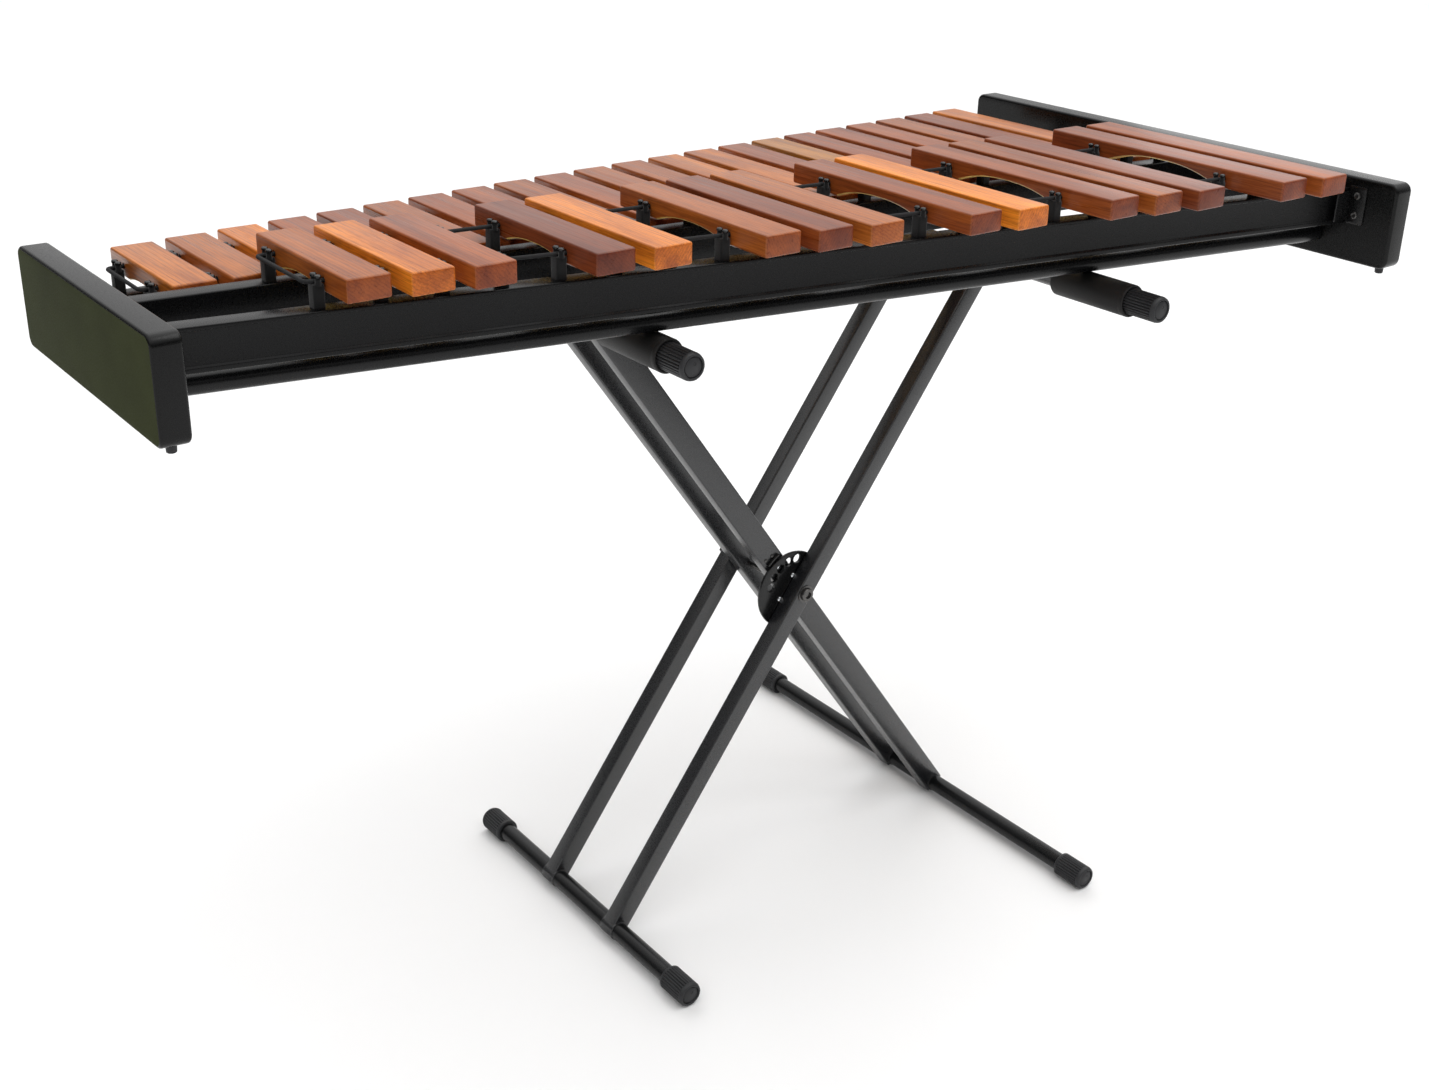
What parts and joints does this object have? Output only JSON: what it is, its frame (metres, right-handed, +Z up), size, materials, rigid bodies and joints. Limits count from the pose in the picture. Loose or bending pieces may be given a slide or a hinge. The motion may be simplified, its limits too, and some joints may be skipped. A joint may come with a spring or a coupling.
{
  "type": "xylophone",
  "caption": "Wooden-bar xylophone with a raised sharps row, tapered black frame and a folding double-legged X stand.",
  "frame": {"origin": "centre of the bounding box's base, on the floor", "axes": "+Z up, +X along the keyboard towards the low notes, -Y towards the sharps row's side"},
  "size_m": [1.2344, 0.619, 0.773],
  "materials": {
    "bar_c8": "oiled, satin",
    "bar_b7": "oiled, satin",
    "bar_a7": "oiled, satin",
    "bar_g7": "oiled, satin",
    "bar_f7": "oiled, satin",
    "bar_e7": "oiled, satin",
    "bar_d7": "oiled, satin",
    "bar_c7": "oiled, satin",
    "bar_b6": "oiled, satin",
    "bar_a6": "oiled, satin",
    "bar_g6": "oiled, satin",
    "bar_f6": "oiled, satin",
    "bar_e6": "oiled, satin",
    "bar_d6": "oiled, satin",
    "bar_c6": "oiled, satin",
    "bar_b5": "oiled, satin",
    "bar_a5": "oiled, satin",
    "bar_g5": "oiled, satin",
    "bar_f5": "oiled, satin",
    "bar_e5": "oiled, satin",
    "bar_d5": "oiled, satin",
    "bar_c5": "oiled, satin",
    "bar_as7": "oiled, satin",
    "bar_gs7": "oiled, satin",
    "bar_fs7": "oiled, satin",
    "bar_ds7": "oiled, satin",
    "bar_cs7": "oiled, satin",
    "bar_as6": "oiled, satin",
    "bar_gs6": "oiled, satin",
    "bar_fs6": "oiled, satin",
    "bar_ds6": "oiled, satin",
    "bar_cs6": "oiled, satin",
    "bar_as5": "oiled, satin",
    "bar_gs5": "oiled, satin",
    "bar_fs5": "oiled, satin",
    "bar_ds5": "oiled, satin",
    "bar_cs5": "oiled, satin",
    "black_wood": "painted black, satin",
    "black_metal": "satin powder coat",
    "rubber": "matt",
    "cord": "braided",
    "chrome": "polished"
  },
  "bodies": {
    "floor_caps_a": {"foot_cap_a_near": "rubber", "foot_cap_a_far": "rubber"},
    "frame_a": {"leg_frame_a": "black_metal", "foot_tube_a": "black_metal", "lock_disc": "black_metal"},
    "pads_a": {"arm_pad_a_near": "rubber", "arm_pad_a_far": "rubber"},
    "keyboard": {"bar_c8": "bar_c8", "bar_b7": "bar_b7", "bar_a7": "bar_a7", "bar_g7": "bar_g7", "bar_f7": "bar_f7", "bar_e7": "bar_e7", "bar_d7": "bar_d7", "bar_c7": "bar_c7", "bar_b6": "bar_b6", "bar_a6": "bar_a6", "bar_g6": "bar_g6", "bar_f6": "bar_f6", "bar_e6": "bar_e6", "bar_d6": "bar_d6", "bar_c6": "bar_c6", "bar_b5": "bar_b5", "bar_a5": "bar_a5", "bar_g5": "bar_g5", "bar_f5": "bar_f5", "bar_e5": "bar_e5", "bar_d5": "bar_d5", "bar_c5": "bar_c5", "bar_as7": "bar_as7", "bar_gs7": "bar_gs7", "bar_fs7": "bar_fs7", "bar_ds7": "bar_ds7", "bar_cs7": "bar_cs7", "bar_as6": "bar_as6", "bar_gs6": "bar_gs6", "bar_fs6": "bar_fs6", "bar_ds6": "bar_ds6", "bar_cs6": "bar_cs6", "bar_as5": "bar_as5", "bar_gs5": "bar_gs5", "bar_fs5": "bar_fs5", "bar_ds5": "bar_ds5", "bar_cs5": "bar_cs5", "end_panel_high": "black_wood", "end_panel_low": "black_wood", "rail_sharps_near": "black_wood", "rail_sharps_far": "black_wood", "rail_naturals_near": "black_wood", "rail_naturals_far": "black_wood", "stretcher_tube": "black_metal", "cord_sharps": "cord", "cord_naturals": "cord"},
    "frame_b": {"leg_frame_b": "black_metal", "foot_tube_b": "black_metal", "arm_pad_b_near": "rubber", "arm_pad_b_far": "rubber"},
    "floor_caps_b": {"foot_cap_b_near": "rubber", "foot_cap_b_far": "rubber"},
    "lock_pin": {"lock_pin": "chrome"}
  },
  "joints": [
    {"name": "stand_fold", "type": "hinge", "parent": "floor_caps_a", "child": "frame_a", "pos_m": [-0.17403, 0.0238, 0.013], "axis": [0, -1, 0], "range_deg": [0, 30]},
    {"name": "arm_level", "type": "hinge", "parent": "frame_a", "child": "pads_a", "pos_m": [0.29624, 0.0238, 0.66265], "axis": [0, -1, 0], "range_deg": [-30, 0]},
    {"name": "keyboard_lift", "type": "slide", "parent": "pads_a", "child": "keyboard", "axis": [0, 0, 1], "range_m": [0, 0.3]},
    {"name": "centre_pivot", "type": "hinge", "parent": "frame_a", "child": "frame_b", "pos_m": [0.0611, 0.0238, 0.33783], "axis": [0, -1, 0], "range_deg": [-60, 0]},
    {"name": "caps_b_level", "type": "hinge", "parent": "frame_b", "child": "floor_caps_b", "pos_m": [0.29624, 0.0238, 0.013], "axis": [0, -1, 0], "range_deg": [0, 30]},
    {"name": "lock_pin_pull", "type": "slide", "parent": "frame_b", "child": "lock_pin", "axis": [0, 1, 0], "range_m": [0, 0.008], "stiffness_N_per_m": 600, "springref_m": -0.002}
  ],
  "couplings": [
    {"joint": "arm_level", "follows": "stand_fold", "ratio": -1},
    {"joint": "centre_pivot", "follows": "stand_fold", "ratio": -2},
    {"joint": "caps_b_level", "follows": "stand_fold", "ratio": 1}
  ]
}
